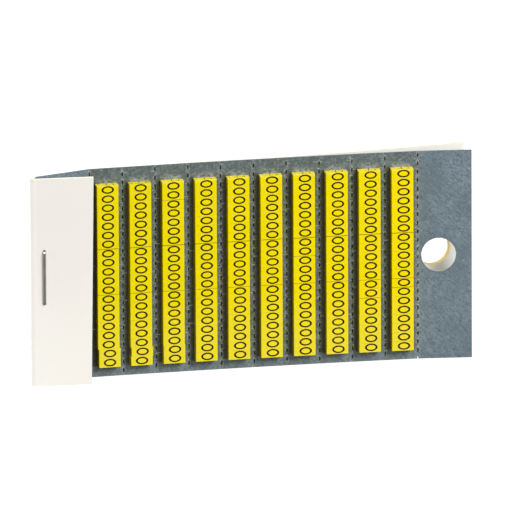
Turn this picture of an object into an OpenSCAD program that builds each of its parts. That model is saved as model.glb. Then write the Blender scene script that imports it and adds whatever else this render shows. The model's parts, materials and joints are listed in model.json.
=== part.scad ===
// Booklet of clip-on cable markers, standing on its long edge and slightly fanned open.
// A perforated backing card carries strips of cut markers. A card cover is folded round
// the stapled end as a short flap, runs behind the backing card as a leaf, and turns back
// on itself at the hang-hole end. Every sheet stands on z = 0 and is drawn in plan.

/* [Backing card] */
// Height of the backing card
card_h = 52; // [46:0.1:60]
// Thickness of the backing card
card_t = 0.5; // [0.3:0.05:0.8]
// Width of the tab under the staple, up to the first perforation
tab_w = 14.2; // [12:0.1:20]
// Width of the panel that carries one strip
panel_w = 8; // [7:0.1:11]
// Number of panels, with one strip on each
panel_count = 10; // [4:1:14]
// Width of the tab with the hang hole, after the last perforation
hang_tab_w = 13.1; // [13:0.1:20]

/* [Fan of the backing card] */
// Angle of the stapled tab to the X axis
tab_yaw = 11.8; // [6:0.1:16]
// Angle of the first panel to the X axis
first_yaw = -3.2; // [-4:0.1:1]
// Bend at each perforation between two panels
panel_bend = 0.35; // [0:0.05:0.8]
// Bend at the last perforation, before the hang tab
hang_bend = 4.8; // [2:0.1:9]

/* [Perforation] */
// Distance between two slits of one line
slit_pitch = 2.13; // [1.8:0.01:3]
// Length of a slit
slit_len = 1; // [0.5:0.05:1.4]
// Width of a slit
slit_w = 0.3; // [0.15:0.05:0.6]

/* [Hang hole] */
// Diameter of the hang hole
hang_d = 8.4; // [5:0.1:10]
// Distance of the hang hole from the free edge of the backing card
hang_inset = 8; // [6.5:0.1:8.3]

/* [Markers] */
// Number of markers in a strip
marker_count = 20; // [8:1:20]
// Distance from one marker to the next
marker_pitch = 2.275; // [1.8:0.005:2.3]
// Width of the printed face
marker_w = 5.4; // [4.8:0.1:6.4]
// Depth of a marker from its face to the backing card
marker_d = 2.1; // [2:0.05:3.2]
// Height of the lowest marker above the lower edge of the card
strip_base = 2.8; // [1.5:0.05:4]
// Width of the cut between two markers
cut_w = 0.04; // [0.02:0.01:0.1]
// Width of the pull-apart cut of a strip
pull_cut_w = 0.12; // [0.05:0.01:0.3]
// Marker, counted from the top, that the pull-apart cut follows
pull_cut_after = 7; // [2:1:8]
// Rounding of the long edges of the face
face_edge_r = 0.25; // [0.1:0.05:0.5]
// Width of the channel that takes the wire
channel_w = 3.6; // [2.4:0.1:4]
// Depth of the channel that takes the wire
channel_d = 1.2; // [0.8:0.05:1.3]
// Thickness of the two toes that hold the wire in
toe_t = 0.4; // [0.3:0.05:0.55]
// Width of the mouth between the toes
mouth_w = 0.2; // [0.1:0.1:1.8]
// Thickness of the adhesive under a strip
glue_t = 0.04; // [0.02:0.01:0.1]

/* [Cover] */
// Distance of the cover's upper edge below the upper edge of the backing card
cover_drop = 0.3; // [0:0.1:4]
// Thickness of the cover card
cover_t = 0.85; // [0.4:0.05:1]
// Gap between the cover and the backing card in the stapled end
layer_gap = 0.1; // [0.05:0.05:0.4]
// Distance from the end of the backing card to the start of the spine fold
spine_reach = 0.3; // [0.2:0.1:2]
// Opening angle of the flap at the spine
flap_angle = 20; // [14:0.5:26]
// Length of the flap along its upper edge
flap_w = 14; // [10:0.1:14.5]
// Shortening of the flap from its upper edge to its lower edge
flap_skew = 0.8; // [0.1:0.1:2]
// Angle between the leaf and the first panel
leaf_spread = 0; // [0:0.1:2]
// Radius of the bend of the leaf behind the first perforation
leaf_bend_r = 4; // [2:0.5:8]
// Length over which the leaf stays flat before it curls away from the backing card
leaf_flat_w = 26; // [10:1:40]
// Turn of the leaf over the rest of its length
leaf_curl = 6; // [1:0.5:9]
// Distance of the far crease past the free edge of the backing card
far_crease_out = 0.2; // [0:0.1:2]
// Length of the turned-back cover along the flat stretch of the leaf
back_flat_w = 4; // [1:1:9]
// Gap between the leaf and the turned-back cover
back_gap = 0.1; // [0.05:0.05:0.6]

/* [Staple] */
// Length of the staple's crown
crown_len = 12.9; // [9:0.1:20]
// Diameter of the staple wire
wire_d = 0.7; // [0.4:0.05:0.9]
// Distance of the staple from the start of the flap
staple_inset = 2; // [1.6:0.1:2.9]
// Height of the middle of the staple
staple_z = 27.2; // [20:0.1:32]
// Length of each clinched leg
clinch_len = 5; // [2.5:0.1:6]
// Inner radius of the staple's bends
staple_bend = 0.1; // [0.05:0.05:0.2]
// Gap between the wire and the card under it
wire_seat = 0.02; // [0.01:0.01:0.1]
// Gap round the wire in its holes
wire_gap = 0.08; // [0.06:0.01:0.2]

/* [Hidden] */
$fn = 48;
// Room that a cut takes past the faces that it opens
past = 1;
// Largest turn of one chord in a round fold
arc_chord = 6;
// Longest chord of a gentle bend
arc_step = 15;
// Height of the first slit below the top edge, line by line
slit_start = [1.2, 1.65, 0.95, 0.9, 1.4, 1.45, 1.3, 1.7, 1.65, 1.3, 0.8];
// Markers that have slid sideways on the adhesive: strip, marker from the top, slide
slid = [[1, 19, 0.25], [1, 20, 0.25], [2, 19, 0.22], [2, 20, 0.1], [3, 19, 0.1], [3, 20, 0.1]];
// Widening of the mouth towards the card
mouth_flare = 0.05;

// A pose in plan is [x, y, yaw]: a point and a heading in degrees
function ahead(p, d) = [p.x + d * cos(p[2]), p.y + d * sin(p[2]), p[2]];
function aside(p, d) = [p.x - d * sin(p[2]), p.y + d * cos(p[2]), p[2]];
function turned(p, a) = [p.x, p.y, p[2] + a];
// Centre of a bend of radius r to the left (a > 0) or to the right
function bend_centre(p, r, a) = aside(p, sign(a) * r);
function after_bend(p, r, a) = aside(turned(bend_centre(p, r, a), a), -sign(a) * r);
// A step along a sheet: a wall is [length, 0], a bend is [radius, angle]
function after_step(p, s) = s[1] == 0 ? ahead(p, s[0]) : after_bend(p, s[0], s[1]);
function walked(p, steps, n) = n == 0 ? p : after_step(walked(p, steps, n - 1), steps[n - 1]);
// Poses at the ends of the chords that make up one step
function arc_len(s) = s[0] * abs(s[1]) * PI / 180;
function chords(s) = s[1] == 0 ? 1 : ceil(max(abs(s[1]) / arc_chord, arc_len(s) / arc_step));
function chord_end(p, s, share) = after_step(p, s[1] == 0 ? [s[0] * share, 0] : [s[0], s[1] * share]);
// One side of a sheet in plan, at the distance d to the left of the walk and past its start
function sheet_side(from, steps, d) = [
    for (n = [0 : len(steps) - 1])
        let (p = walked(from, steps, n), m = chords(steps[n]))
            for (k = [1 : m])
                plan_point(aside(chord_end(p, steps[n], k / m), d))
];
function reversed(v) = [for (i = [len(v) - 1 : -1 : 0]) v[i]];
function plan_point(p) = [p.x, p.y];

// Backing card: section 0 is the tab, then come the panels, then the hang tab
last_section = panel_count + 1;
card_len = tab_w + panel_count * panel_w + hang_tab_w;
function section_w(i) = i == 0 ? tab_w : i == last_section ? hang_tab_w : panel_w;
function panel_yaw(i) = first_yaw - panel_bend * (i - 1);
function section_yaw(i) =
    i == 0 ? tab_yaw : i == last_section ? panel_yaw(panel_count) - hang_bend : panel_yaw(i);
function headed(p, yaw) = [p.x, p.y, yaw];
function section_start(i) =
    i == 0 ? [0, 0, section_yaw(0)]
    : headed(ahead(section_start(i - 1), section_w(i - 1)), section_yaw(i));
card_end = ahead(section_start(last_section), hang_tab_w);
hang_pose = ahead(card_end, -hang_inset);
// Heading of the perforation line before section i, halfway between its two panels
function crease_yaw(i) = (section_yaw(max(i - 1, 0)) + section_yaw(min(i, last_section))) / 2;
function crease_half(i) = (section_yaw(max(i - 1, 0)) - section_yaw(min(i, last_section))) / 2;
function crease_at(i) = i > last_section ? card_end : section_start(i);
function crease_pose(i) = headed(crease_at(i), crease_yaw(i));
// One long side of the card in plan, mitred at each perforation
function card_side(d) =
    [for (i = [0 : last_section + 1]) plan_point(aside(crease_pose(i), d / cos(crease_half(i))))];
card_outline = concat(card_side(-card_t / 2), reversed(card_side(card_t / 2)));

// Cover: the leaf lies behind the tab, and the spine fold is centred on the tab
cover_h = card_h - cover_drop;
leaf_off = card_t / 2 + layer_gap + cover_t / 2;
spine_r = leaf_off;
spine_pose = ahead(aside(section_start(0), leaf_off), -spine_reach);
leaf_kink = tab_yaw - first_yaw - leaf_spread;
leaf_bend_tangent = leaf_bend_r * tan(leaf_kink / 2);
// The leaf bends behind the card's first perforation, on the outer side of the mitre
leaf_tab_w = spine_reach + tab_w + leaf_off * tan(leaf_kink / 2) - leaf_bend_tangent;
// The far fold is tight, so that the turned-back cover lies along the leaf
far_fold_r = (cover_t + back_gap) / 2;
far_out = far_fold_r + cover_t / 2;
leaf_w = card_len - tab_w - leaf_bend_tangent + far_crease_out - far_out;
curl_w = leaf_w - leaf_flat_w;
curl_r = curl_w / leaf_curl * 180 / PI;
// From the spine forward: fold, flap
flap_steps = [
    [spine_r, 180 - flap_angle],
    [flap_w, 0]
];
// From the spine back: tab, bend, flat leaf, curled leaf, far fold, and back along the leaf
leaf_steps = [
    [leaf_tab_w, 0],
    [leaf_bend_r, -leaf_kink],
    [leaf_flat_w, 0],
    [curl_r, leaf_curl],
    [far_fold_r, 180],
    [curl_r - 2 * far_fold_r, -leaf_curl],
    [back_flat_w, 0]
];
flap_start = turned(spine_pose, 180);
flap_root = walked(flap_start, flap_steps, 1);
flap_edge = walked(flap_start, flap_steps, 2);
curl_start = walked(spine_pose, leaf_steps, 3);
leaf_end = walked(spine_pose, leaf_steps, 4);
// Outline of the folded cover in plan: its outer side from the flap's edge, then its inner side
cover_outline = concat(
    reversed(sheet_side(flap_start, flap_steps, -cover_t / 2)),
    [plan_point(aside(spine_pose, cover_t / 2))],
    sheet_side(spine_pose, leaf_steps, cover_t / 2),
    reversed(sheet_side(spine_pose, leaf_steps, -cover_t / 2)),
    [plan_point(aside(spine_pose, -cover_t / 2))],
    sheet_side(flap_start, flap_steps, cover_t / 2)
);
// The hole in the leaf is as far from the free edge of the closed booklet as the one in the card
leaf_hang_in = hang_inset + far_crease_out - far_out;
leaf_hang = chord_end(curl_start, leaf_steps[3], 1 - leaf_hang_in / curl_w);

// Staple: x along the flap, y through the layers, z along the crown
staple_pose = ahead(flap_root, staple_inset);
wire_r = wire_d / 2;
wire_bend_r = staple_bend + wire_r;
crown_y = -(cover_t / 2 + wire_seat + wire_r);
// Depth of the clinched legs behind the tab's middle plane, and along the slanted legs
clinch_depth = leaf_off + cover_t / 2 + wire_seat + wire_r;
staple_depth = staple_pose.y * cos(tab_yaw) - staple_pose.x * sin(tab_yaw);
clinch_y = (clinch_depth - staple_depth) / cos(flap_angle);
leg_len = clinch_y - crown_y - 2 * wire_bend_r;
wire_ends = [-1, 1];

// Middle of the whole booklet in plan, between the outermost points of its sheets
outline_x = [for (p = concat(cover_outline, card_outline)) p.x];
outline_y = [for (p = concat(cover_outline, card_outline)) p.y];
middle = [(min(outline_x) + max(outline_x)) / 2, (min(outline_y) + max(outline_y)) / 2, 0];

function strip_name(i) = str("marker_strip_", i < 10 ? "0" : "", i);

// Moves the plan so that the middle of the booklet is on the origin
module booklet() {
    translate(-middle) children();
}

module at_pose(p) {
    translate([p.x, p.y, 0]) rotate(p[2]) children();
}

// Round hole through a sheet at the pose p, from depth y0 to depth y1
module drilled(p, z, d, y0, y1) {
    at_pose(p) translate([0, y0, z]) rotate([-90, 0, 0]) cylinder(d = d, h = y1 - y0);
}

// Slanted holes that the staple's legs take through all the layers
module staple_holes() {
    hole_d = wire_d + 2 * wire_gap;
    for (s = wire_ends)
        drilled(staple_pose, staple_z + s * crown_len / 2, hole_d, -past, clinch_y + past);
}

// Slanted cut along the free edge of the flap
module flap_cut() {
    at_pose(flap_edge) rotate([90, 0, 0]) linear_extrude(2 * past, center = true)
        polygon([[0, cover_h], [-flap_skew, 0], [-flap_skew, -past], [past, -past], [past, cover_h]]);
}

module cover() {
    color("#f4f0e6") booklet() difference() {
        linear_extrude(cover_h) polygon(cover_outline);
        drilled(leaf_hang, cover_h / 2, hang_d, -past, 2 * far_fold_r + cover_t + past);
        flap_cut();
        staple_holes();
    }
}

// Half of the staple above its middle: half the crown, a leg and its clinched end
module staple_half() {
    half = crown_len / 2;
    translate([0, crown_y, 0]) cylinder(r = wire_r, h = half - wire_bend_r);
    translate([0, crown_y + wire_bend_r, half - wire_bend_r]) mirror([0, 1, 0]) wire_corner();
    translate([0, crown_y + wire_bend_r, half]) rotate([-90, 0, 0]) cylinder(r = wire_r, h = leg_len);
    translate([0, clinch_y - wire_bend_r, half - wire_bend_r]) wire_corner();
    translate([0, clinch_y, half - wire_bend_r - clinch_len]) cylinder(r = wire_r, h = clinch_len);
}

// Quarter bend of the wire round the x axis, from +y to +z
module wire_corner() {
    rotate([90, 0, 90])
        rotate_extrude(angle = 90) translate([wire_bend_r, 0]) circle(r = wire_r);
}

module staple() {
    color("#8d8c88") booklet() at_pose(staple_pose) translate([0, 0, staple_z]) {
        staple_half();
        mirror([0, 0, 1]) staple_half();
    }
}

// One line of perforation slits, from the top edge down
module slit_line(i) {
    first = slit_start[(i - 1) % len(slit_start)];
    at_pose(crease_pose(i))
        for (drop = [first : slit_pitch : card_h])
            translate([-slit_w / 2, -past, card_h - drop - slit_len / 2])
                cube([slit_w, 2 * past, slit_len]);
}

module marker_card() {
    color("#73828a") booklet() difference() {
        linear_extrude(card_h) polygon(card_outline);
        for (i = [1 : last_section]) slit_line(i);
        drilled(hang_pose, card_h / 2, hang_d, -past, past);
        staple_holes();
    }
}

// Section of a marker: y = 0 is its back on the card, +y points to its face
module marker_section() {
    half = marker_w / 2;
    channel_half = (channel_w - channel_d) / 2;
    mouth_half = mouth_w / 2;
    difference() {
        union() {
            translate([-half, 0]) square([marker_w, marker_d - face_edge_r]);
            translate([-half + face_edge_r, 0]) square([marker_w - 2 * face_edge_r, marker_d]);
            for (s = [-1, 1])
                translate([s * (half - face_edge_r), marker_d - face_edge_r]) circle(r = face_edge_r);
        }
        translate([-channel_half, toe_t]) square([2 * channel_half, channel_d]);
        for (s = [-1, 1]) translate([s * channel_half, toe_t + channel_d / 2]) circle(d = channel_d);
        polygon([
            [-mouth_half, toe_t + channel_d / 2], [mouth_half, toe_t + channel_d / 2],
            [mouth_half, toe_t], [mouth_half + mouth_flare, 0],
            [-mouth_half - mouth_flare, 0], [-mouth_half, toe_t]
        ]);
    }
}

function slide_of(i, k) =
    let (hit = [for (s = slid) if (s[0] == i && s[1] == k) s[2]])
        len(hit) > 0 ? hit[0] : 0;

// One strip of cut markers, stuck to the middle of panel i
module marker_strip(i) {
    color("#f5e100") booklet()
        at_pose(aside(ahead(section_start(i), panel_w / 2), -card_t / 2 - glue_t))
            rotate(180)
                for (k = [1 : marker_count]) {
                    cut = k == pull_cut_after ? pull_cut_w : cut_w;
                    translate([-slide_of(i, k), 0, strip_base + (marker_count - k) * marker_pitch + cut])
                        linear_extrude(marker_pitch - cut) marker_section();
                }
}

cover();
staple();
marker_card();
for (i = [1 : panel_count])
    marker_strip(i);
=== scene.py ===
# %% [markdown]
# # A booklet of clip-on cable markers
# The real thing is a small workshop booklet. A grey perforated card carries ten strips of yellow
# markers, a cream cover is folded round it, and one staple holds the folded end together.
# The construction comes from the frame and stays as it is. This lesson gives it its finishes, adds
# the printed noughts and the fibres of the card, and sets up the light and the camera.

# %% Load the frame
import json
import math
import random

import bpy
from mathutils import Matrix, Vector


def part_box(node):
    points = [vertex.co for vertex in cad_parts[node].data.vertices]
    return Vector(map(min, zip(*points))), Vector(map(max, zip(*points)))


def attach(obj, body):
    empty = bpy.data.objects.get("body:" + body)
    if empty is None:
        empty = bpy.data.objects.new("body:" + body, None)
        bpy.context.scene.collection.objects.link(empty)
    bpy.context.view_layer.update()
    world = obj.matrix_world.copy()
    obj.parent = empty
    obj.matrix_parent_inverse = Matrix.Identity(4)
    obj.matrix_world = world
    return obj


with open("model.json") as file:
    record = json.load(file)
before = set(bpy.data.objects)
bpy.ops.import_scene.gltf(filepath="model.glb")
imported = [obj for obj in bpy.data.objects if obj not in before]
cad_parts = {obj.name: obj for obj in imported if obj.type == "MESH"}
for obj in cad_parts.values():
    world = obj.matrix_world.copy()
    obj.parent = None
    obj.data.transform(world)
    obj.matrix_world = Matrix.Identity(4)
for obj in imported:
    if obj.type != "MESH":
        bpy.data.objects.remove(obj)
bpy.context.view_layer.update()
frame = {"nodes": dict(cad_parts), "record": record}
MM = 0.001
strips = sorted(name for name in frame["nodes"] if name.startswith("marker_strip"))

# %% [markdown]
# ## Camera
# The booklet was photographed from far away, a little from the left and a little from above, so its
# upright edges stay parallel. The picture is also turned by a fraction of a degree. A long lens at
# four and a half metres gives the same view. The focal length follows from how many pixels one
# millimetre takes up at the point that the camera looks at.

# %% Set up the camera
IMAGE_PIXELS = 512
PIXELS_PER_MM = 4.161
VIEW_AZIMUTH = math.radians(-15)
VIEW_ELEVATION = math.radians(16.48)
VIEW_ROLL = math.radians(-0.3)
VIEW_DISTANCE = 4.5
SENSOR_WIDTH = 36
AIM = Vector((1.77, 1.808, 27.66)) * MM

view = (
    Matrix.Rotation(VIEW_AZIMUTH, 3, "Z")
    @ Matrix.Rotation(math.pi / 2 - VIEW_ELEVATION, 3, "X")
    @ Matrix.Rotation(VIEW_ROLL, 3, "Z")
)
bpy.ops.object.select_all(action="DESELECT")
bpy.ops.object.camera_add(location=AIM + VIEW_DISTANCE * view.col[2], rotation=view.to_euler())
camera = bpy.context.object
camera.data.sensor_width = SENSOR_WIDTH
camera.data.lens = SENSOR_WIDTH * PIXELS_PER_MM * VIEW_DISTANCE / MM / IMAGE_PIXELS
bpy.context.scene.camera = camera
print("lens:", round(camera.data.lens, 1), "mm")

# %% [markdown]
# ## Light
# The shadows on the grey card lie to the left of the strips, so the main light stands in front of
# the booklet, on the right. It is large and soft. A sun lamp with a wide angle gives such a light
# with the same strength on every strip. A second lamp on the left brightens the upper edges, a weak
# one beside the camera fills the gaps between the strips, and one behind lights the back of the cover.

# %% Set up the light
# Each lamp has the way that it comes from, its strength and the angle that it spans in degrees.
LAMPS = {
    "key": ((0.38, -0.71, 0.59), 2.55, 28),
    "side": ((-0.85, 0.25, 0.46), 2.2, 40),
    "fill": (view.col[2], 0.55, 40),
    "rear": ((0.3, 0.85, 0.43), 0.85, 60),
}

scene = bpy.context.scene
scene.view_settings.view_transform = "Standard"
for name, (way, strength, span) in LAMPS.items():
    toward_lamp = Vector(way).normalized().to_track_quat("Z", "Y")
    bpy.ops.object.light_add(type="SUN", rotation=toward_lamp.to_euler())
    lamp = bpy.context.object
    lamp.name = name + "_lamp"
    lamp.data.energy = strength
    lamp.data.angle = math.radians(span)
print("lamps:", ", ".join(LAMPS))

# %% [markdown]
# The sky is plain white for the camera and for reflections, and dimmer as a source of light.

# %% Set up the sky
WHITE = (1, 1, 1, 1)
SKY_STRENGTH = 0.2


def seen_or_mirrored(tree):
    """A socket that is 1 for rays from the camera, for reflections and through glass."""
    path = tree.nodes.new("ShaderNodeLightPath")
    ray = path.outputs["Is Camera Ray"]
    for kind in ("Is Glossy Ray", "Is Transmission Ray"):
        either = tree.nodes.new("ShaderNodeMath")
        either.operation = "MAXIMUM"
        tree.links.new(ray, either.inputs[0])
        tree.links.new(path.outputs[kind], either.inputs[1])
        ray = either.outputs[0]
    return ray


scene.world = bpy.data.worlds.new("studio_sky")
scene.world.use_nodes = True
sky = scene.world.node_tree
sky_light = sky.nodes["Background"]
sky_light.inputs["Color"].default_value = WHITE
sky_light.inputs["Strength"].default_value = SKY_STRENGTH
sky_white = sky.nodes.new("ShaderNodeBackground")
sky_white.inputs["Color"].default_value = WHITE
sky_mix = sky.nodes.new("ShaderNodeMixShader")
sky.links.new(seen_or_mirrored(sky), sky_mix.inputs[0])
sky.links.new(sky_light.outputs[0], sky_mix.inputs[1])
sky.links.new(sky_white.outputs[0], sky_mix.inputs[2])
sky.links.new(sky_mix.outputs[0], sky.nodes["World Output"].inputs["Surface"])
print("sky:", SKY_STRENGTH, "as a source of light")

# %% [markdown]
# ## Floor
# The booklet stands on a sheet that runs out of the picture. As a source of bounced light it is only
# a mid grey, so that the lower edges of the booklet keep their shade, and it still takes the soft
# shadow. For the camera and for reflections it is lifted, so that the lit part of it is as white as
# the sky above it.

# %% Lay the floor
FLOOR_SIZE = 6.0
FLOOR_WHITE = 0.35
FLOOR_LIFT = 0.84

bpy.ops.object.select_all(action="DESELECT")
bpy.ops.mesh.primitive_plane_add(size=FLOOR_SIZE)
floor = bpy.context.object
floor.name = "floor"
floor_finish = bpy.data.materials.new("white_sheet")
floor_finish.use_nodes = True
floor_tree = floor_finish.node_tree
matt = floor_tree.nodes["Principled BSDF"]
matt.inputs["Base Color"].default_value = (FLOOR_WHITE, FLOOR_WHITE, FLOOR_WHITE, 1)
matt.inputs["Roughness"].default_value = 1
matt.inputs["Specular IOR Level"].default_value = 0
lift = floor_tree.nodes.new("ShaderNodeMath")
lift.operation = "MULTIPLY"
lift.inputs[1].default_value = FLOOR_LIFT
floor_tree.links.new(seen_or_mirrored(floor_tree), lift.inputs[0])
matt.inputs["Emission Color"].default_value = WHITE
floor_tree.links.new(lift.outputs[0], matt.inputs["Emission Strength"])
floor.data.materials.append(floor_finish)
print("floor:", FLOOR_SIZE, "m wide")

# %% [markdown]
# ## A small kit for node materials
# Every finish below is made of the same few nodes: noise at some scale, a step from one value to
# another, a mix of two colours. The class gives each of them a short name. All patterns read Object
# coordinates, turned into millimetres, so that a number in a finish is a size on the real card.


# %% Write the material kit
def shade(red, green, painted_blue_reflection):
    """A colour given as 0 to 255 in the usual screen scale, as the linear colour that nodes take."""
    def linear(value):
        value /= 255
        return value / 12.92 if value < 0.04045 else ((value + 0.055) / 1.055) ** 2.4
    return (linear(red), linear(green), linear(painted_blue_reflection), 1)


class Finish:
    """A node material. Most methods add nodes and give back an output socket."""

    def __init__(self, name):
        self.material = bpy.data.materials.new(name)
        self.material.use_nodes = True
        self.tree = self.material.node_tree
        self.shader = self.tree.nodes["Principled BSDF"]
        place = self.tree.nodes.new("ShaderNodeTexCoord").outputs["Object"]
        self.place = self.operate("ShaderNodeVectorMath", "MULTIPLY", place, (1 / MM, 1 / MM, 1 / MM))
        self.x, self.y, self.z = self.split(self.place)
        normal = self.tree.nodes.new("ShaderNodeNewGeometry").outputs["True Normal"]
        self.normal_x, self.normal_y, self.normal_z = self.split(normal)

    def put(self, socket, value):
        if isinstance(value, bpy.types.NodeSocket):
            self.tree.links.new(value, socket)
        else:
            socket.default_value = value

    def node(self, kind, *values):
        """A new node of the kind with its first inputs filled in."""
        node = self.tree.nodes.new(kind)
        for socket, value in zip(node.inputs, values):
            self.put(socket, value)
        return node

    def operate(self, kind, operation, *values):
        node = self.node(kind, *values)
        node.operation = operation
        return node.outputs[0]

    def math(self, operation, *values):
        return self.operate("ShaderNodeMath", operation, *values)

    def split(self, vector):
        return self.node("ShaderNodeSeparateXYZ", vector).outputs

    def join(self, x, y, z):
        return self.node("ShaderNodeCombineXYZ", x, y, z).outputs[0]

    def times(self, first, *others):
        for other in others:
            first = self.math("MULTIPLY", first, other)
        return first

    def size(self, value):
        return self.math("ABSOLUTE", value)

    def apart(self, first, second):
        return self.size(self.math("SUBTRACT", first, second))

    def from_axis(self, mount):
        """Distance from the middle of a hole in millimetres, as seen from the front."""
        across = self.math("SUBTRACT", self.x, mount["pos_m"][0] / MM)
        up = self.math("SUBTRACT", self.z, mount["pos_m"][2] / MM)
        return self.math("SQRT", self.math("ADD", self.times(across, across), self.times(up, up)))

    def step(self, value, low, high, start=0.0, end=1.0):
        """Runs from start to end while value runs from low to high, and stays level outside."""
        return self.node("ShaderNodeMapRange", value, low, high, start, end).outputs[0]

    def stretched(self, turn=(0, 0, 0), scale=(1, 1, 1)):
        node = self.tree.nodes.new("ShaderNodeMapping")
        self.put(node.inputs["Vector"], self.place)
        node.inputs["Rotation"].default_value = [math.radians(angle) for angle in turn]
        node.inputs["Scale"].default_value = scale
        return node.outputs[0]

    def noise(self, scale, detail=2.0, roughness=0.5, where=None):
        node = self.tree.nodes.new("ShaderNodeTexNoise")
        self.put(node.inputs["Vector"], where or self.place)
        node.inputs["Scale"].default_value = scale
        node.inputs["Detail"].default_value = detail
        node.inputs["Roughness"].default_value = roughness
        return node.outputs[0]

    def chance(self, where):
        """A random value for each whole-number place."""
        node = self.tree.nodes.new("ShaderNodeTexWhiteNoise")
        self.put(node.inputs["Vector"], where)
        return node.outputs["Value"]

    def mix(self, share, first, second):
        """A mix of two colours. The sockets for colours are inputs 6 and 7 and output 2."""
        node = self.tree.nodes.new("ShaderNodeMix")
        node.data_type = "RGBA"
        self.put(node.inputs[0], share)
        self.put(node.inputs[6], first)
        self.put(node.inputs[7], second)
        return node.outputs[2]

    def relief(self, height, depth_mm):
        node = self.tree.nodes.new("ShaderNodeBump")
        node.inputs["Strength"].default_value = 1.0
        node.inputs["Distance"].default_value = depth_mm * MM
        self.put(node.inputs["Height"], height)
        self.tree.links.new(node.outputs[0], self.shader.inputs["Normal"])

    def set(self, **sockets):
        """Sets or links sockets of the shader, such as base_color or roughness."""
        for name, value in sockets.items():
            title = name.replace("_", " ").title().replace("Ior", "IOR")
            self.put(self.shader.inputs[title], value)

    def dress(self, *pieces):
        for piece in pieces:
            piece.data.materials.clear()
            piece.data.materials.append(self.material)
        print("finish:", self.material.name, "pieces:", len(pieces))


# %% [markdown]
# ## Cover card
# The cover is a sheet of coated cream card, smooth on its faces and tan where it was cut. A paint
# layer could hold the tan edges, but the card is a folded sheet with upright faces, so its cut edges
# can be found by the direction they look in: up, down, or along the sheet away from the two folds.
# The flap is painted paler towards its foot, a painted bounce of light from the floor, and painted pale
# along the spine as painted light against the shade of the round fold. The leaf beyond it is painted
# whiter than the flap, as painted light, with a warm rim round its hole.

# %% Finish the faces of the cover
FLAP_END = -37
FOLD_LIGHT_REACH, FOLD_LIGHT_FADE = 1.4, 0.8
BOUNCE_NONE_HEIGHT, BOUNCE_FULL_HEIGHT = 40, 8
WARM_RIM = 1.5
DULL_CREAM = shade(236, 232, 225)
CREAM = shade(248, 245, 238)
LEAF_LIGHT_WHITE = shade(255, 252, 243)
FOLD_LIGHT_WHITE = shade(254, 251, 245)
CREAM_FIBRE = shade(232, 227, 217)
WARM_CREAM = shade(255, 245, 222)


def mount_named(name):
    return next(mount for mount in frame["record"]["mounts"] if mount["name"] == name)


def cover_face(finish):
    """Colour of the coated faces, and the height of their fine fibres."""
    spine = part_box("cover")[0].x / MM + FOLD_LIGHT_REACH
    hole = mount_named("cover_hang_hole")
    hole_edge = hole["dims"]["r_mm"]
    # Painted floor bounce: the flap's colour grows paler towards its foot, mixed into the cloud.
    painted_bounce = finish.step(finish.z, BOUNCE_NONE_HEIGHT, BOUNCE_FULL_HEIGHT, 0, 0.6)
    cloud = finish.math("MULTIPLY_ADD", finish.noise(0.05, detail=3), 0.4, painted_bounce)
    face = finish.mix(cloud, DULL_CREAM, CREAM)
    # Painted light: the leaf gets a whiter colour than the flap, for the stronger light that falls on it.
    lit_leaf = finish.math("GREATER_THAN", finish.x, FLAP_END)
    face = finish.mix(lit_leaf, face, LEAF_LIGHT_WHITE)
    # Painted light along the spine, against the shade of the round fold.
    painted_fold_light = finish.step(finish.x, spine, spine - FOLD_LIGHT_FADE, 0.0, 0.5)
    face = finish.mix(painted_fold_light, face, FOLD_LIGHT_WHITE)
    fibre = finish.noise(3.0, detail=3, roughness=0.6)
    face = finish.mix(finish.step(fibre, 0.35, 0.75, 0.0, 0.2), face, CREAM_FIBRE)
    rim = finish.step(finish.from_axis(hole), hole_edge, hole_edge + WARM_RIM, 0.7, 0.0)
    return finish.mix(rim, face, WARM_CREAM), fibre


# %% [markdown]
# The upper cut edge is painted pale, as painted light from above, and the punched hole shows the tan
# core.

# %% Finish the edges of the cover
FOLD_X = 50.8
EDGE_BAND = 0.1
CORE_TAN = shade(234, 196, 104)
CORE_PALE = shade(250, 228, 168)
TOP_LIGHT_WHITE = shade(252, 250, 238)
TOP_LIGHT_CREAM = shade(250, 244, 220)


def cover_edge(finish):
    """Colour of the cut edges, and a socket that is 1 on them."""
    cover_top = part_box("cover")[1].z / MM
    core = finish.mix(finish.noise(6.0, detail=3), CORE_TAN, CORE_PALE)
    # Painted light: the upper cut edge is paler than the tan core of the other cut edges.
    lit_top_edge = finish.mix(finish.noise(4.0, detail=3), TOP_LIGHT_WHITE, TOP_LIGHT_CREAM)
    lit_upper = finish.math("GREATER_THAN", finish.z, cover_top - EDGE_BAND)
    level = finish.step(finish.size(finish.normal_z), 0.4, 0.6)
    sideways = finish.step(finish.size(finish.normal_x), 0.6, 0.7)
    between_folds = finish.math("LESS_THAN", finish.size(finish.x), FOLD_X)
    cut = finish.math("MAXIMUM", level, finish.times(sideways, between_folds))
    return finish.mix(lit_upper, core, lit_top_edge), cut


def cover_card():
    finish = Finish("cover_card")
    face, fibre = cover_face(finish)
    edge, cut = cover_edge(finish)
    finish.set(
        base_color=finish.mix(cut, face, edge),
        roughness=finish.step(cut, 0, 1, 0.6, 0.9),
        specular_ior_level=0.25,
    )
    finish.relief(fibre, 0.012)
    finish.dress(frame["nodes"]["cover"])


cover_card()

# %% [markdown]
# ## Layout of the strips
# The strips stand at an even pitch, so the pattern of panels and cuts can be worked out from the
# boxes of the first and the last strip.

# %% Measure the strips
MARKERS = 20


def middle_x(name):
    low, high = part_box(name)
    return (low.x + high.x) / 2 / MM


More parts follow.
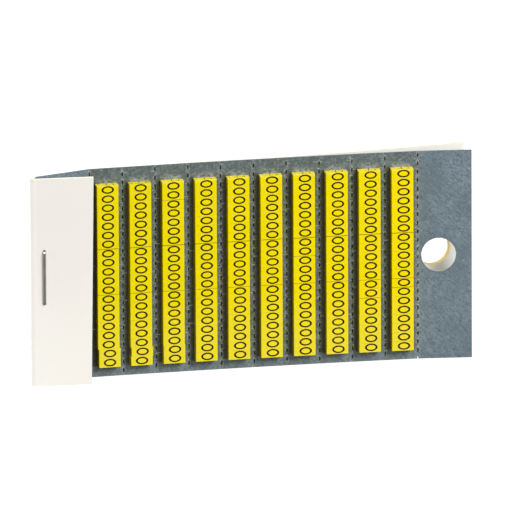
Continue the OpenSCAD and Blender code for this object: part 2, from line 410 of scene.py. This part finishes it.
card_hole = mount_named("card_hang_hole")
card_hole_r = card_hole["dims"]["r_mm"]
hole_left = card_hole["pos_m"][0] / MM - card_hole_r
first_strip_x = middle_x(strips[0])
panel_pitch = (middle_x(strips[-1]) - first_strip_x) / (len(strips) - 1)
strip_foot, strip_top = (corner.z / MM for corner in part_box(strips[-1]))
marker_pitch = (strip_top - strip_foot) / MARKERS
print("panel pitch", round(panel_pitch, 3), "marker pitch", round(marker_pitch, 3), "mm")

# %% [markdown]
# Each panel of the backing card runs from one line of slits to the next, with its strip in the
# middle. The finishes below ask how far a point is from the strip, from the crease and from the
# nearest cut.

# %% Lay out the panels and the cuts
FRONT_FACING = -0.5


def panel_of(finish):
    """How many panels to the right of the first strip's middle a point lies."""
    return finish.math("DIVIDE", finish.math("SUBTRACT", finish.x, first_strip_x), panel_pitch)


class Panels:
    """Sockets that say where a point of the backing card lies among the panels."""

    def __init__(self, finish):
        panel = panel_of(finish)
        nearest = finish.math("MAXIMUM", finish.math("ROUND", panel), 0)
        self.number = finish.math("MINIMUM", nearest, len(strips) - 1)
        self.left = finish.times(finish.math("SUBTRACT", self.number, panel), panel_pitch)
        self.aside = finish.size(self.left)
        self.from_crease = finish.apart(self.aside, panel_pitch / 2)
        self.front = finish.math("LESS_THAN", finish.normal_y, FRONT_FACING)
        self.faces = finish.times(finish.math("LESS_THAN", self.aside, panel_pitch / 2), self.front)


def cuts(finish):
    """The number of the nearest cut, counted from the foot, and how many markers away it is."""
    row = finish.math("DIVIDE", finish.math("SUBTRACT", finish.z, strip_foot), marker_pitch)
    cut = finish.math("ROUND", row)
    return cut, finish.apart(row, cut)


# %% [markdown]
# ## Backing card
# The markers are stuck to an unbleached grey board. It is mottled, with fibres that slant down to the
# right and a few white specks. The panels are yellower than the hang tab and flecked, bluer near the
# foot, and painted paler below the strips as painted light against the strips' shade. The line of each
# crease is roughed up and pale. A painted
# image could hold all this, but a few layers of noise, each kept to its place by distance, stay
# sharp from close by.

# %% Colour the board
FIBRE_STRETCH = 0.3
FOOT_HEIGHT = 8
FOOT_FADE = 0.5
FOOT_LIGHT_REACH = 0.4
TINT_LEFT, TINT_RIGHT = 15, 45
GRAIN_DARK = shade(92, 107, 117)
GRAIN_PALE = shade(142, 157, 166)
CLOUD_GREY = shade(94, 109, 119)
BLOTCH_GREY = shade(106, 118, 122)
PANEL_BLUE = shade(82, 93, 98)
PANEL_OLIVE = shade(86, 92, 78)
PANEL_FOOT_LIGHT = shade(116, 126, 124)
FLECK_PALE = shade(158, 168, 166)
FLECK_DARK = shade(64, 74, 74)
SPECK_WHITE = shade(190, 198, 200)
ROUGH_PALE = shade(196, 200, 194)


def board_grain(finish):
    """Colour of the bare board, and the height of its grain."""
    along = finish.times(finish.math("SUBTRACT", finish.x, finish.z), FIBRE_STRETCH)
    slant = finish.join(along, finish.y, finish.math("ADD", finish.x, finish.z))
    fibre = finish.noise(1.6, detail=2, roughness=0.6, where=slant)
    speckle = finish.noise(2.2, detail=2, roughness=0.65)
    grain = finish.math("MULTIPLY_ADD", speckle, 0.55, finish.times(fibre, 0.45))
    board = finish.mix(finish.step(grain, 0.34, 0.66), GRAIN_DARK, GRAIN_PALE)
    cloud = finish.step(finish.noise(0.13, detail=2), 0.4, 0.62, 0.0, 0.4)
    board = finish.mix(cloud, board, CLOUD_GREY)
    blotch = finish.step(finish.noise(0.16, detail=3), 0.3, 0.7, 0.0, 0.25)
    return finish.mix(blotch, board, BLOTCH_GREY), grain


def tinted_panels(finish, board, panels):
    higher = finish.step(finish.z, strip_foot - FOOT_FADE, strip_foot + FOOT_HEIGHT)
    tint = finish.mix(higher, PANEL_BLUE, PANEL_OLIVE)
    # Painted light below the strips, against the shade that the strips cast there.
    painted_light_below = finish.step(finish.z, strip_foot, strip_foot - FOOT_LIGHT_REACH)
    tint = finish.mix(painted_light_below, tint, PANEL_FOOT_LIGHT)
    share = finish.step(finish.x, TINT_LEFT, TINT_RIGHT, 0.6, 0.45)
    board = finish.mix(finish.times(share, panels.faces), board, tint)
    fleck = finish.noise(1.5, detail=3, roughness=0.6)
    pale = finish.step(fleck, 0.5, 0.72, 0.0, 0.42)
    board = finish.mix(finish.times(pale, panels.faces), board, FLECK_PALE)
    dark = finish.step(fleck, 0.5, 0.3, 0.0, 0.38)
    board = finish.mix(finish.times(dark, panels.faces), board, FLECK_DARK)
    speck = finish.step(finish.noise(1.3, detail=1), 0.74, 0.8, 0.0, 0.6)
    return finish.mix(speck, board, SPECK_WHITE)


def rough_creases(finish, board, panels):
    patch = finish.step(finish.noise(2.6, detail=3, roughness=0.7), 0.52, 0.68)
    near = finish.step(panels.from_crease, 0.2, 0.75, 0.75, 0.0)
    return finish.mix(finish.times(patch, near, panels.front), board, ROUGH_PALE)


# %% [markdown]
# The board is painted with a dark olive shade in the corner on the left of each strip, where little light
# comes in and most of it is thrown back by the yellow plastic. Glue has dried in smears at the strips'
# upper ends, and it is smoother than the board. The blade that cut the markers ran on at some of the cuts
# and scratched the board. The walls of the slits are painted dark as shade, and the punched hole shows a
# tan core.

# %% Add the marks of use
STRIP_SIDE, SHADE_NEAR, SHADE_FAR = 1.5, 2.4, 4.4
SHADE_FADE = 0.5
GLUE_FROM, GLUE_FULL, GLUE_TO = -0.6, 0.4, 1.6
GLUE_WIDE, GLUE_END = 1.4, 2.9
SCRATCH_NEAR, SCRATCH_FAR = 0.9, 1.2
LINE_CORE, LINE_EDGE = 0.02, 0.05
CORNER_SHADE_OLIVE = shade(60, 55, 0)
GLUE_GREY = shade(192, 200, 196)
SCRATCH_GREY = shade(170, 176, 172)
SLIT_SHADE = shade(30, 25, 16)
HOLE_TAN = shade(236, 214, 158)


def painted_corner_shade(finish, board, panels):
    # Painted shade: dark olive in the corner on the left of each strip, where the strip's shadow falls.
    beside = finish.step(panels.left, SHADE_NEAR, SHADE_FAR, 1.0, 0.0)
    on_left = finish.math("GREATER_THAN", panels.left, STRIP_SIDE)
    below_top = finish.step(finish.z, strip_top, strip_top + SHADE_FADE, 1.0, 0.0)
    above_foot = finish.step(finish.z, strip_foot - SHADE_FADE, strip_foot)
    corner = finish.times(beside, on_left, below_top, above_foot, panels.front)
    return finish.mix(finish.times(corner, 0.92), board, CORNER_SHADE_OLIVE)


def dried_glue(finish, board, panels):
    """The board with its smears of glue, and a socket that is 1 on the glue."""
    drawn = finish.stretched((0, 8, 0), (0.8, 1, 1.4))
    smear = finish.noise(1.3, detail=4, roughness=0.7, where=drawn)
    glue = finish.times(
        finish.step(finish.z, strip_top + GLUE_FROM, strip_top),
        finish.step(finish.z, strip_top + GLUE_FULL, strip_top + GLUE_TO, 1.0, 0.0),
        finish.step(panels.aside, GLUE_WIDE, GLUE_END, 1.0, 0.0),
        finish.step(smear, 0.42, 0.6),
        panels.front,
    )
    return finish.mix(finish.times(glue, 0.6), board, GLUE_GREY), glue


def knife_scratches(finish, board, panels):
    cut, from_cut = cuts(finish)
    line = finish.step(from_cut, LINE_CORE, LINE_EDGE, 0.8, 0.0)
    ran_on = finish.math("GREATER_THAN", finish.chance(finish.join(panels.number, cut, 0.0)), 0.86)
    near = finish.step(panels.from_crease, SCRATCH_NEAR, SCRATCH_FAR, 1.0, 0.0)
    return finish.mix(finish.times(line, ran_on, near, panels.faces), board, SCRATCH_GREY)


def painted_slit_shade(finish, board):
    middle_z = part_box("marker_card")[1].z / MM / 2
    # Painted shade: the walls of the slits are made dark, as the shade inside them.
    sideways = finish.math("GREATER_THAN", finish.size(finish.normal_x), 0.6)
    on_panels = finish.math("LESS_THAN", finish.size(finish.x), hole_left)
    level = finish.math("GREATER_THAN", finish.size(finish.normal_z), 0.9)
    off_edges = finish.math("LESS_THAN", finish.apart(finish.z, middle_z), middle_z - EDGE_BAND)
    wall = finish.math("MAXIMUM", finish.times(sideways, on_panels), finish.times(level, off_edges))
    return finish.mix(finish.times(wall, 0.92), board, SLIT_SHADE)


def hole_wall(finish, board):
    inside = finish.math("LESS_THAN", finish.from_axis(card_hole), card_hole_r + EDGE_BAND)
    wall = finish.step(finish.size(finish.normal_y), 0.5, 0.6, 0.85, 0.0)
    return finish.mix(finish.times(inside, wall), board, HOLE_TAN)


# %% [markdown]
# The layers are laid over each other in order, from the bare board to the wall of the hole.


# %% Finish the backing card
def backing_card():
    finish = Finish("backing_card")
    panels = Panels(finish)
    board, grain = board_grain(finish)
    board = tinted_panels(finish, board, panels)
    board = rough_creases(finish, board, panels)
    board = painted_corner_shade(finish, board, panels)
    board, glue = dried_glue(finish, board, panels)
    board = knife_scratches(finish, board, panels)
    board = painted_slit_shade(finish, board)
    board = hole_wall(finish, board)
    finish.set(base_color=board, roughness=finish.step(glue, 0, 1, 0.9, 0.5), specular_ior_level=0.08)
    finish.relief(grain, 0.03)
    finish.dress(frame["nodes"]["marker_card"])


backing_card()

# %% [markdown]
# ## Marker plastic
# The markers are cut from one long extruded profile of soft yellow plastic with a satin face. It is
# painted brighter on the right as painted light, with a painted sheen of the floor near the foot and
# painted light at the upper ends, and the walls on the left are painted with an olive shade. The blade
# leaves a slightly paler rim on both sides of each cut. Two cuts in every strip, five markers apart, and
# a few others went deeper, and painted shade darkens them. The cuts are worked out from the height over
# the lowest marker, because all strips start at the same height.

# %% Finish the markers
DEEP_MIDDLE, DEEP_APART = 10.5, 5
RIM_EDGE = 0.09
LIGHT_SPAN = 40
SHEEN_FULL_BELOW, SHEEN_GONE_ABOVE = 4, 16
TOP_LIGHT_FROM, TOP_LIGHT_FULL = 0.5, 0.1
YELLOW_SHADED_LEFT = shade(234, 215, 0)
YELLOW_LIT_RIGHT = shade(250, 224, 0)
YELLOW_STREAK = shade(247, 228, 0)
YELLOW_SHEEN = shade(242, 225, 66)
YELLOW_RIM = shade(250, 236, 110)
YELLOW_TOP_LIGHT = shade(252, 241, 100)
DEEP_CUT_SHADE = shade(110, 96, 0)
WALL_SHADE_OLIVE = shade(70, 64, 0)


def blade_marks(finish, yellow):
    cut, from_cut = cuts(finish)
    patchy = finish.step(finish.noise(0.8, detail=2), 0.4, 0.6)
    rim = finish.times(finish.step(from_cut, LINE_CORE, RIM_EDGE, 0.4, 0.0), patchy)
    yellow = finish.mix(rim, yellow, YELLOW_RIM)
    regular = finish.math("COMPARE", finish.apart(cut, DEEP_MIDDLE), DEEP_APART / 2, 0.1)
    strip = finish.math("ROUND", panel_of(finish))
    stray = finish.math("GREATER_THAN", finish.chance(finish.join(strip, cut, 1.0)), 0.95)
    # Painted shade: a dark line along the deeper cuts, where shade falls in the gap.
    line = finish.step(from_cut, LINE_CORE, LINE_EDGE, 0.55, 0.0)
    deep_cut_shade = finish.times(finish.math("MAXIMUM", regular, stray), line)
    return finish.mix(deep_cut_shade, yellow, DEEP_CUT_SHADE)


def marker_plastic():
    finish = Finish("marker_plastic")
    # Painted light: the yellow grows brighter towards the right, nearer the main light.
    painted_light_rightward = finish.step(finish.x, -LIGHT_SPAN, LIGHT_SPAN)
    yellow = finish.mix(painted_light_rightward, YELLOW_SHADED_LEFT, YELLOW_LIT_RIGHT)
    streak = finish.noise(1.4, detail=3, where=finish.stretched(scale=(1, 1, 0.12)))
    yellow = finish.mix(finish.step(streak, 0.35, 0.7, 0.0, 0.4), yellow, YELLOW_STREAK)
    # Painted reflection: a pale sheen of the bright floor on the lower markers.
    painted_sheen = finish.step(finish.z, strip_foot + SHEEN_FULL_BELOW, strip_foot + SHEEN_GONE_ABOVE, 0.55, 0.0)
    yellow = finish.mix(painted_sheen, yellow, YELLOW_SHEEN)
    yellow = blade_marks(finish, yellow)
    # Painted light: the upper ends are paler, lit from above.
    lit_upper = finish.step(finish.z, strip_top - TOP_LIGHT_FROM, strip_top - TOP_LIGHT_FULL, 0.0, 0.45)
    yellow = finish.mix(lit_upper, yellow, YELLOW_TOP_LIGHT)
    # Painted shade: the walls that look left are darkened to olive.
    left_wall_shade = finish.step(finish.normal_x, -0.6, -0.9, 0.0, 0.75)
    yellow = finish.mix(left_wall_shade, yellow, WALL_SHADE_OLIVE)
    finish.set(base_color=yellow, roughness=0.45, specular_ior_level=0.06)
    finish.relief(streak, 0.006)
    finish.dress(*(frame["nodes"][name] for name in strips))


marker_plastic()

# %% [markdown]
# ## Staple wire
# The staple is drawn steel wire with a dull, slightly scratched coat. Bright metal reflects what is round
# it, so most of its look comes from the white room. Long scratches along the wire break the reflection
# up. A brownish painted reflection lies on its left and a bluish one on its right, and a painted
# highlight sits just under the upper bend, where the wire looks a little upwards.

# %% Finish the staple
STEEL_DARK = shade(84, 82, 78)
STEEL_PALE = shade(118, 116, 112)
STEEL_BROWN_REFLECTION = shade(158, 134, 106)
STEEL_BLUE_REFLECTION = shade(150, 168, 182)
STEEL_HIGHLIGHT = shade(236, 238, 238)


def staple_wire():
    finish = Finish("staple_wire")
    scratch = finish.noise(5.0, detail=3, roughness=0.7, where=finish.stretched(scale=(1, 1, 0.08)))
    steel = finish.mix(finish.step(scratch, 0.35, 0.7), STEEL_DARK, STEEL_PALE)
    # Painted reflection: brownish on the wire's left side, bluish on its right.
    painted_brown_reflection = finish.step(finish.normal_x, -0.6, -0.95, 0.0, 0.8)
    steel = finish.mix(painted_brown_reflection, steel, STEEL_BROWN_REFLECTION)
    painted_blue_reflection = finish.step(finish.normal_x, 0.0, 0.6, 0.0, 0.8)
    steel = finish.mix(painted_blue_reflection, steel, STEEL_BLUE_REFLECTION)
    # Painted highlight just under the upper bend.
    past_straight = finish.step(finish.normal_z, 0.12, 0.3)
    before_top = finish.step(finish.normal_z, 0.45, 0.65, 0.75, 0.0)
    steel = finish.mix(finish.times(past_straight, before_top), steel, STEEL_HIGHLIGHT)
    finish.set(base_color=steel, metallic=1.0, roughness=finish.step(scratch, 0.3, 0.7, 0.28, 0.45))
    finish.relief(scratch, 0.01)
    finish.dress(frame["nodes"]["staple"])


staple_wire()

# %% [markdown]
# ## Printed noughts
# Each marker carries one printed nought, turned a quarter so that it reads along the cable. The ink
# stands a few hundredths of a millimetre proud. A filled circle is squeezed to an oval, extruded twice
# and drawn in each time, up and down again, which leaves a low ridge of ink. Then the two many-sided
# faces are deleted and the underside is bridged, so that every nought is a small closed ring.

# %% Model one nought
NOUGHT_SIDES = 28
NOUGHT_W, NOUGHT_H = 3.1 * MM, 1.93 * MM
STROKE_SIDE, STROKE_TOP = 0.5 * MM, 0.37 * MM
INK_CREST = 0.02 * MM


def printed_nought():
    bpy.ops.object.select_all(action="DESELECT")
    bpy.ops.mesh.primitive_circle_add(
        vertices=NOUGHT_SIDES, radius=NOUGHT_H / 2, fill_type="NGON", rotation=(math.pi / 2, 0, 0)
    )
    bpy.ops.object.transform_apply(rotation=True)
    bpy.ops.object.mode_set(mode="EDIT")
    bpy.ops.mesh.select_all(action="SELECT")
    bpy.ops.transform.resize(value=(NOUGHT_W / NOUGHT_H, 1, 1))
    width, height = NOUGHT_W, NOUGHT_H
    for push in (-INK_CREST, INK_CREST):
        bpy.ops.mesh.extrude_region_move(TRANSFORM_OT_translate={"value": (0, push, 0)})
        inner_w, inner_h = width - STROKE_SIDE, height - STROKE_TOP
        bpy.ops.transform.resize(value=(inner_w / width, 1, inner_h / height))
        width, height = inner_w, inner_h
    bpy.ops.mesh.select_all(action="DESELECT")
    bpy.ops.mesh.select_face_by_sides(number=4, type="GREATER")
    bpy.ops.mesh.delete(type="FACE")
    bpy.ops.mesh.select_all(action="SELECT")
    bpy.ops.mesh.region_to_loop()
    bpy.ops.mesh.bridge_edge_loops()
    bpy.ops.mesh.select_all(action="SELECT")
    bpy.ops.mesh.normals_make_consistent(inside=False)
    bpy.ops.object.mode_set(mode="OBJECT")
    return bpy.context.object


nought = printed_nought()
print("nought:", len(nought.data.polygons), "faces")

# %% [markdown]
# ## Print the strips
# The noughts sit on the printed faces, so their places are read from the strips themselves: the
# faces that look forward and lie furthest out, sorted from the top down.

# %% Find the printed faces
FACES_FORWARD = -0.95
FACE_SLACK = 0.02 * MM


def printed_faces(strip):
    """Centres of the markers' faces from the top down, and the way that they look."""
    mesh = frame["nodes"][strip].data
    forward = [face for face in mesh.polygons if face.normal.y < FACES_FORWARD]
    look = max(forward, key=lambda face: face.area).normal.copy()
    furthest = max(face.center.dot(look) for face in forward)
    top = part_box(strip)[1].z
    rows = {}
    for face in forward:
        if face.center.dot(look) > furthest - FACE_SLACK:
            row = int((top - face.center.z) / (marker_pitch * MM))
            rows.setdefault(row, []).extend(mesh.vertices[corner].co for corner in face.vertices)
    centres = []
    for row in sorted(rows):
        low = Vector([min(point[axis] for point in rows[row]) for axis in range(3)])
        high = Vector([max(point[axis] for point in rows[row]) for axis in range(3)])
        centre = (low + high) / 2
        centres.append(centre + look * (furthest - centre.dot(look)))
    return centres, look


print("printed faces on a strip:", len(printed_faces(strips[0])[0]))

# %% [markdown]
# The print of a strip isn't quite centred, and a hand-fed press never hits exactly the same spot
# twice. All noughts of a strip become one piece.

# %% Place the noughts
PRINT_RISE = 0.07 * MM
PRINT_SLIP = 0.03 * MM
PRINT_SHIFT = (0.02, 0.05, 0.1, 0.15, 0.18, 0.2, 0.22, 0.22, 0.24, 0.26)
SINK = 0.001 * MM
PRESS_SEED = 7


def joined(copies, name):
    """One object made of the copies, named and set to ride with the booklet."""
    bpy.ops.object.select_all(action="DESELECT")
    for copy in copies:
        copy.select_set(True)
    bpy.context.view_layer.objects.active = copies[0]
    bpy.ops.object.join()
    piece = bpy.context.object
    piece.name = name
    piece.data.name = name
    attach(piece, "root")
    return piece


def copied(model, place):
    """A copy of the model with its own mesh, which holds its place."""
    copy = model.copy()
    copy.data = model.data.copy()
    copy.data.transform(place)
    scene.collection.objects.link(copy)
    return copy


def print_strip(number, strip, slip):
    centres, look = printed_faces(strip)
    yaw = math.atan2(look.x, -look.y)
    along = Vector((math.cos(yaw), math.sin(yaw), 0))
    rings = []
    for centre in centres:
        shift = PRINT_SHIFT[number - 1] * MM + slip.uniform(-PRINT_SLIP, PRINT_SLIP)
        rise = PRINT_RISE + slip.uniform(-PRINT_SLIP, PRINT_SLIP)
        spot = centre + shift * along + Vector((0, 0, rise)) - SINK * look
        rings.append(copied(nought, Matrix.Translation(spot) @ Matrix.Rotation(yaw, 4, "Z")))
    piece = joined(rings, "noughts_%02d" % number)
    return piece


press = random.Random(PRESS_SEED)
prints = [print_strip(number, strip, press) for number, strip in enumerate(strips, start=1)]
bpy.data.objects.remove(nought)
print("printed", len(prints), "strips,", sum(len(piece.data.polygons) for piece in prints), "faces")

# %% [markdown]
# ## Ink
# The ink is a warm black that has soaked unevenly into the plastic, thinner in some places than in
# others. Noise in two sizes lets the yellow show through a little.

# %% Finish the ink
INK_THICK = shade(20, 16, 4)
INK_THIN = shade(66, 55, 6)


def printing_ink():
    finish = Finish("printing_ink")
    patch = finish.step(finish.noise(0.7, detail=2), 0.45, 0.72)
    fine = finish.noise(5.0, detail=3, roughness=0.7)
    thin = finish.math("MULTIPLY_ADD", patch, 0.5, finish.times(fine, 0.25))
    ink = finish.mix(thin, INK_THICK, INK_THIN)
    finish.set(base_color=ink, roughness=0.7, specular_ior_level=0.1)
    finish.relief(fine, 0.004)
    finish.dress(*prints)


printing_ink()

# %% [markdown]
# ## Fibres of the card
# A perforating knife doesn't cut board cleanly. It pushes up a pale arch of fibres at the upper end of
# each slit, and loose flakes stay on both sides of it. A dark plug put in each slit is painted shade.
# The arch is half of a thin torus. A flake is a flattened ball, and so is a plug. Their points are
# shaken a little, in a few variants, and the copies are turned and scaled at random.

# %% Model the fibres
VARIANTS = range(4)
ARCH_W, ARCH_WIRE, ARCH_SHAKE = 0.46 * MM, 0.05 * MM, 0.06 * MM
FLAKE_R, FLAKE_SHAPE, FLAKE_SHAKE = 0.09 * MM, (1, 0.5, 1.5), 0.05 * MM
PLUG_R, PLUG_SHAPE, PLUG_SHAKE = 0.64 * MM, (0.36, 0.09, 1), 0.02 * MM


def shaken(seed, amount):
    """Moves the points of the active object a little, each one its own way."""
    bpy.ops.object.mode_set(mode="EDIT")
    bpy.ops.mesh.select_all(action="SELECT")
    bpy.ops.transform.vertex_random(offset=amount, seed=seed)
    bpy.ops.mesh.normals_make_consistent(inside=False)
    bpy.ops.object.mode_set(mode="OBJECT")
    return bpy.context.object


def torn_arch(seed):
    bpy.ops.object.select_all(action="DESELECT")
    bpy.ops.mesh.primitive_torus_add(
        major_segments=12, minor_segments=4, major_radius=ARCH_W / 2, minor_radius=ARCH_WIRE,
        rotation=(math.pi / 2, 0, 0),
    )
    bpy.ops.object.transform_apply(rotation=True)
    bpy.ops.object.mode_set(mode="EDIT")
    bpy.ops.mesh.select_all(action="SELECT")
    bpy.ops.mesh.bisect(plane_co=(0, 0, 0), plane_no=(0, 0, 1), use_fill=True, clear_inner=True)
    bpy.ops.object.mode_set(mode="OBJECT")
    return shaken(seed, ARCH_SHAKE)


def flat_ball(seed, radius, shape, shake):
    bpy.ops.object.select_all(action="DESELECT")
    bpy.ops.mesh.primitive_ico_sphere_add(subdivisions=1, radius=radius, scale=shape)
    bpy.ops.object.transform_apply(scale=True)
    return shaken(seed, shake)


arches = [torn_arch(seed) for seed in VARIANTS]
plugs = [flat_ball(seed, PLUG_R, PLUG_SHAPE, PLUG_SHAKE) for seed in VARIANTS]
flakes = [flat_ball(seed, FLAKE_R, FLAKE_SHAPE, FLAKE_SHAKE) for seed in VARIANTS]
for kind, models in (("arch", arches), ("plug", plugs), ("flake", flakes)):
    print(kind + ":", len(models[0].data.polygons), "faces")

# %% [markdown]
# The slits are found in the card itself. Each has a small roof that looks down, and the two points of
# the roof that lie furthest forward give its place and the direction of the card there.

# %% Find the slits
SLIT = 1.0 * MM
ROOF_DOWN = -0.95
ROOF_GRID = 0.1 * MM
POINT_GRID = 0.01 * MM


def slit_tops():
    """The front middle of each slit's upper end with the yaw of the card, line by line."""
    mesh = frame["nodes"]["marker_card"].data
    roofs = {}
    for face in mesh.polygons:
        on_panels = face.center.z > SLIT and abs(face.center.x) < hole_left * MM
        if face.normal.z < ROOF_DOWN and on_panels:
            line = round(face.center.x / (panel_pitch * MM))
            spots = roofs.setdefault((line, round(face.center.z / ROOF_GRID)), {})
            for corner in face.vertices:
                point = mesh.vertices[corner].co
                spots[tuple(round(part / POINT_GRID) for part in point)] = point
    by_line = {}
    for (line, height), spots in sorted(roofs.items()):
        front = sorted(spots.values(), key=lambda point: point.y)[:2]
        left, right = sorted(front, key=lambda point: point.x)
        yaw = math.atan2(right.y - left.y, right.x - left.x)
        by_line.setdefault(line, []).append(((left + right) / 2, yaw))
    return by_line


lines = list(enumerate(slit_tops().values(), start=1))
print("slits:", sum(len(tops) for number, tops in lines), "in", len(lines), "lines")

# %% [markdown]
# Each slit gets its arch and, by chance, a flake on either side. The fibres of one line become one
# piece.

# %% Fray the slits
# How far a kind strays sideways and up in millimetres, the range of its size, its lean in radians.
ARCH_SCATTER = ((0.03, 0.05), (0.8, 1.2), 0.5)
FLAKE_SCATTER = ((0.12, 0.5), (0.6, 1.2), 0.5)
FLAKE_ASIDE = 0.32 * MM
FLAKE_CHANCE = 0.55
KNIFE_SEED = 3


def scattered(model, spot, yaw, chance, scatter):
    """A copy of the model near the spot on the card, turned and scaled at random."""
    spread, sizes, tilt = scatter
    shift = Vector((chance.uniform(-spread[0], spread[0]), 0, chance.uniform(-spread[1], spread[1]))) * MM
    size = Matrix.Diagonal((chance.uniform(*sizes), 1, chance.uniform(*sizes), 1))
    lean = Matrix.Rotation(chance.uniform(-tilt, tilt), 4, "Y")
    place = Matrix.Translation(spot) @ Matrix.Rotation(yaw, 4, "Z") @ Matrix.Translation(shift)
    return copied(model, place @ lean @ size)


def fray(number, tops, chance):
    bits = []
    for spot, yaw in tops:
        bits.append(scattered(chance.choice(arches), spot, yaw, chance, ARCH_SCATTER))
        for side in (-1, 1):
            if chance.random() < FLAKE_CHANCE:
                beside = spot + Vector((side * FLAKE_ASIDE, 0, -0.5 * SLIT))
                bits.append(scattered(chance.choice(flakes), beside, yaw, chance, FLAKE_SCATTER))
    piece = joined(bits, "torn_fibres_%02d" % number)
    return piece


knife_luck = random.Random(KNIFE_SEED)
torn = [fray(number, tops, knife_luck) for number, tops in lines]
print("torn fibres:", sum(len(piece.data.polygons) for piece in torn), "faces in", len(torn), "lines")

# %% [markdown]
# The punch has frayed the rim of the hang hole as well, most of all on its left and below. Flakes
# stand round it at small steps, with a good chance there and a poor one elsewhere.

# %% Fray the hang hole
HOLE_STEP, HOLE_WOBBLE = 4, 2
FRAYED_FROM, FRAYED_TO = 185, 320
FRAYED_CHANCE, CLEAN_CHANCE = 0.9, 0.2
RIM_PROUD, RIM_SINK = 0.2 * MM, 0.03 * MM
RIM_THICK, RIM_DEPTH, RIM_LONG = (0.5, 1.0), 1.6, (0.8, 1.6)


def fray_hole(chance):
    centre, out = Vector(card_hole["pos_m"]), Vector(card_hole["axis"])
    facing = Matrix.Rotation(math.atan2(out.x, -out.y), 4, "Z")
    upright = Matrix.Translation(centre + RIM_PROUD * out) @ facing
    reach = Matrix.Translation((card_hole_r * MM - RIM_SINK, 0, 0))
    bits = []
    for angle in range(0, 360, HOLE_STEP):
        frayed = FRAYED_CHANCE if FRAYED_FROM < angle < FRAYED_TO else CLEAN_CHANCE
        if chance.random() < frayed:
            turn = math.radians(angle + chance.uniform(-HOLE_WOBBLE, HOLE_WOBBLE))
            size = Matrix.Diagonal((chance.uniform(*RIM_THICK), RIM_DEPTH, chance.uniform(*RIM_LONG), 1))
            place = upright @ Matrix.Rotation(-turn, 4, "Y") @ reach @ size
            bits.append(copied(chance.choice(flakes), place))
    piece = joined(bits, "hole_fibres")
    return piece


torn.append(fray_hole(knife_luck))
print("hole fibres:", len(torn[-1].data.polygons), "faces")

# %% [markdown]
# The plugs sit in the slits, a little behind the face of the card. After that the models of the
# fibres have done their work and are removed.

# %% Fill the slits
PLUG_SCATTER = ((0, 0.04), (0.95, 1.05), 0.02)
PLUG_DEPTH = 0.03 * MM


def fill_with_shade(number, tops, chance):
    bits = []
    for spot, yaw in tops:
        # Painted shade: a dark plug fills each slit, where shade lies.
        inside = spot + Matrix.Rotation(yaw, 3, "Z") @ Vector((0, PLUG_DEPTH, -0.5 * SLIT))
        bits.append(scattered(chance.choice(plugs), inside, yaw, chance, PLUG_SCATTER))
    piece = joined(bits, "crushed_fibres_%02d" % number)
    return piece


shade_plugs = [fill_with_shade(number, tops, knife_luck) for number, tops in lines]
for model in arches + flakes + plugs:
    bpy.data.objects.remove(model)
print("shade plugs:", sum(len(piece.data.polygons) for piece in shade_plugs), "faces")

# %% [markdown]
# Torn fibres show the pale inside of the board. The plugs are painted shade, brown and dark, where the
# slit lies in shade.


# %% Finish the fibres
def fibre_finish(name, pieces, dark, pale):
    finish = Finish(name)
    fine = finish.noise(4.0, detail=2)
    finish.set(base_color=finish.mix(fine, dark, pale), roughness=0.95, specular_ior_level=0.1)
    finish.dress(*pieces)


fibre_finish("torn_board", torn, dark=shade(134, 142, 142), pale=shade(214, 218, 214))
fibre_finish("crushed_board", shade_plugs, dark=shade(30, 24, 12), pale=shade(66, 55, 30))
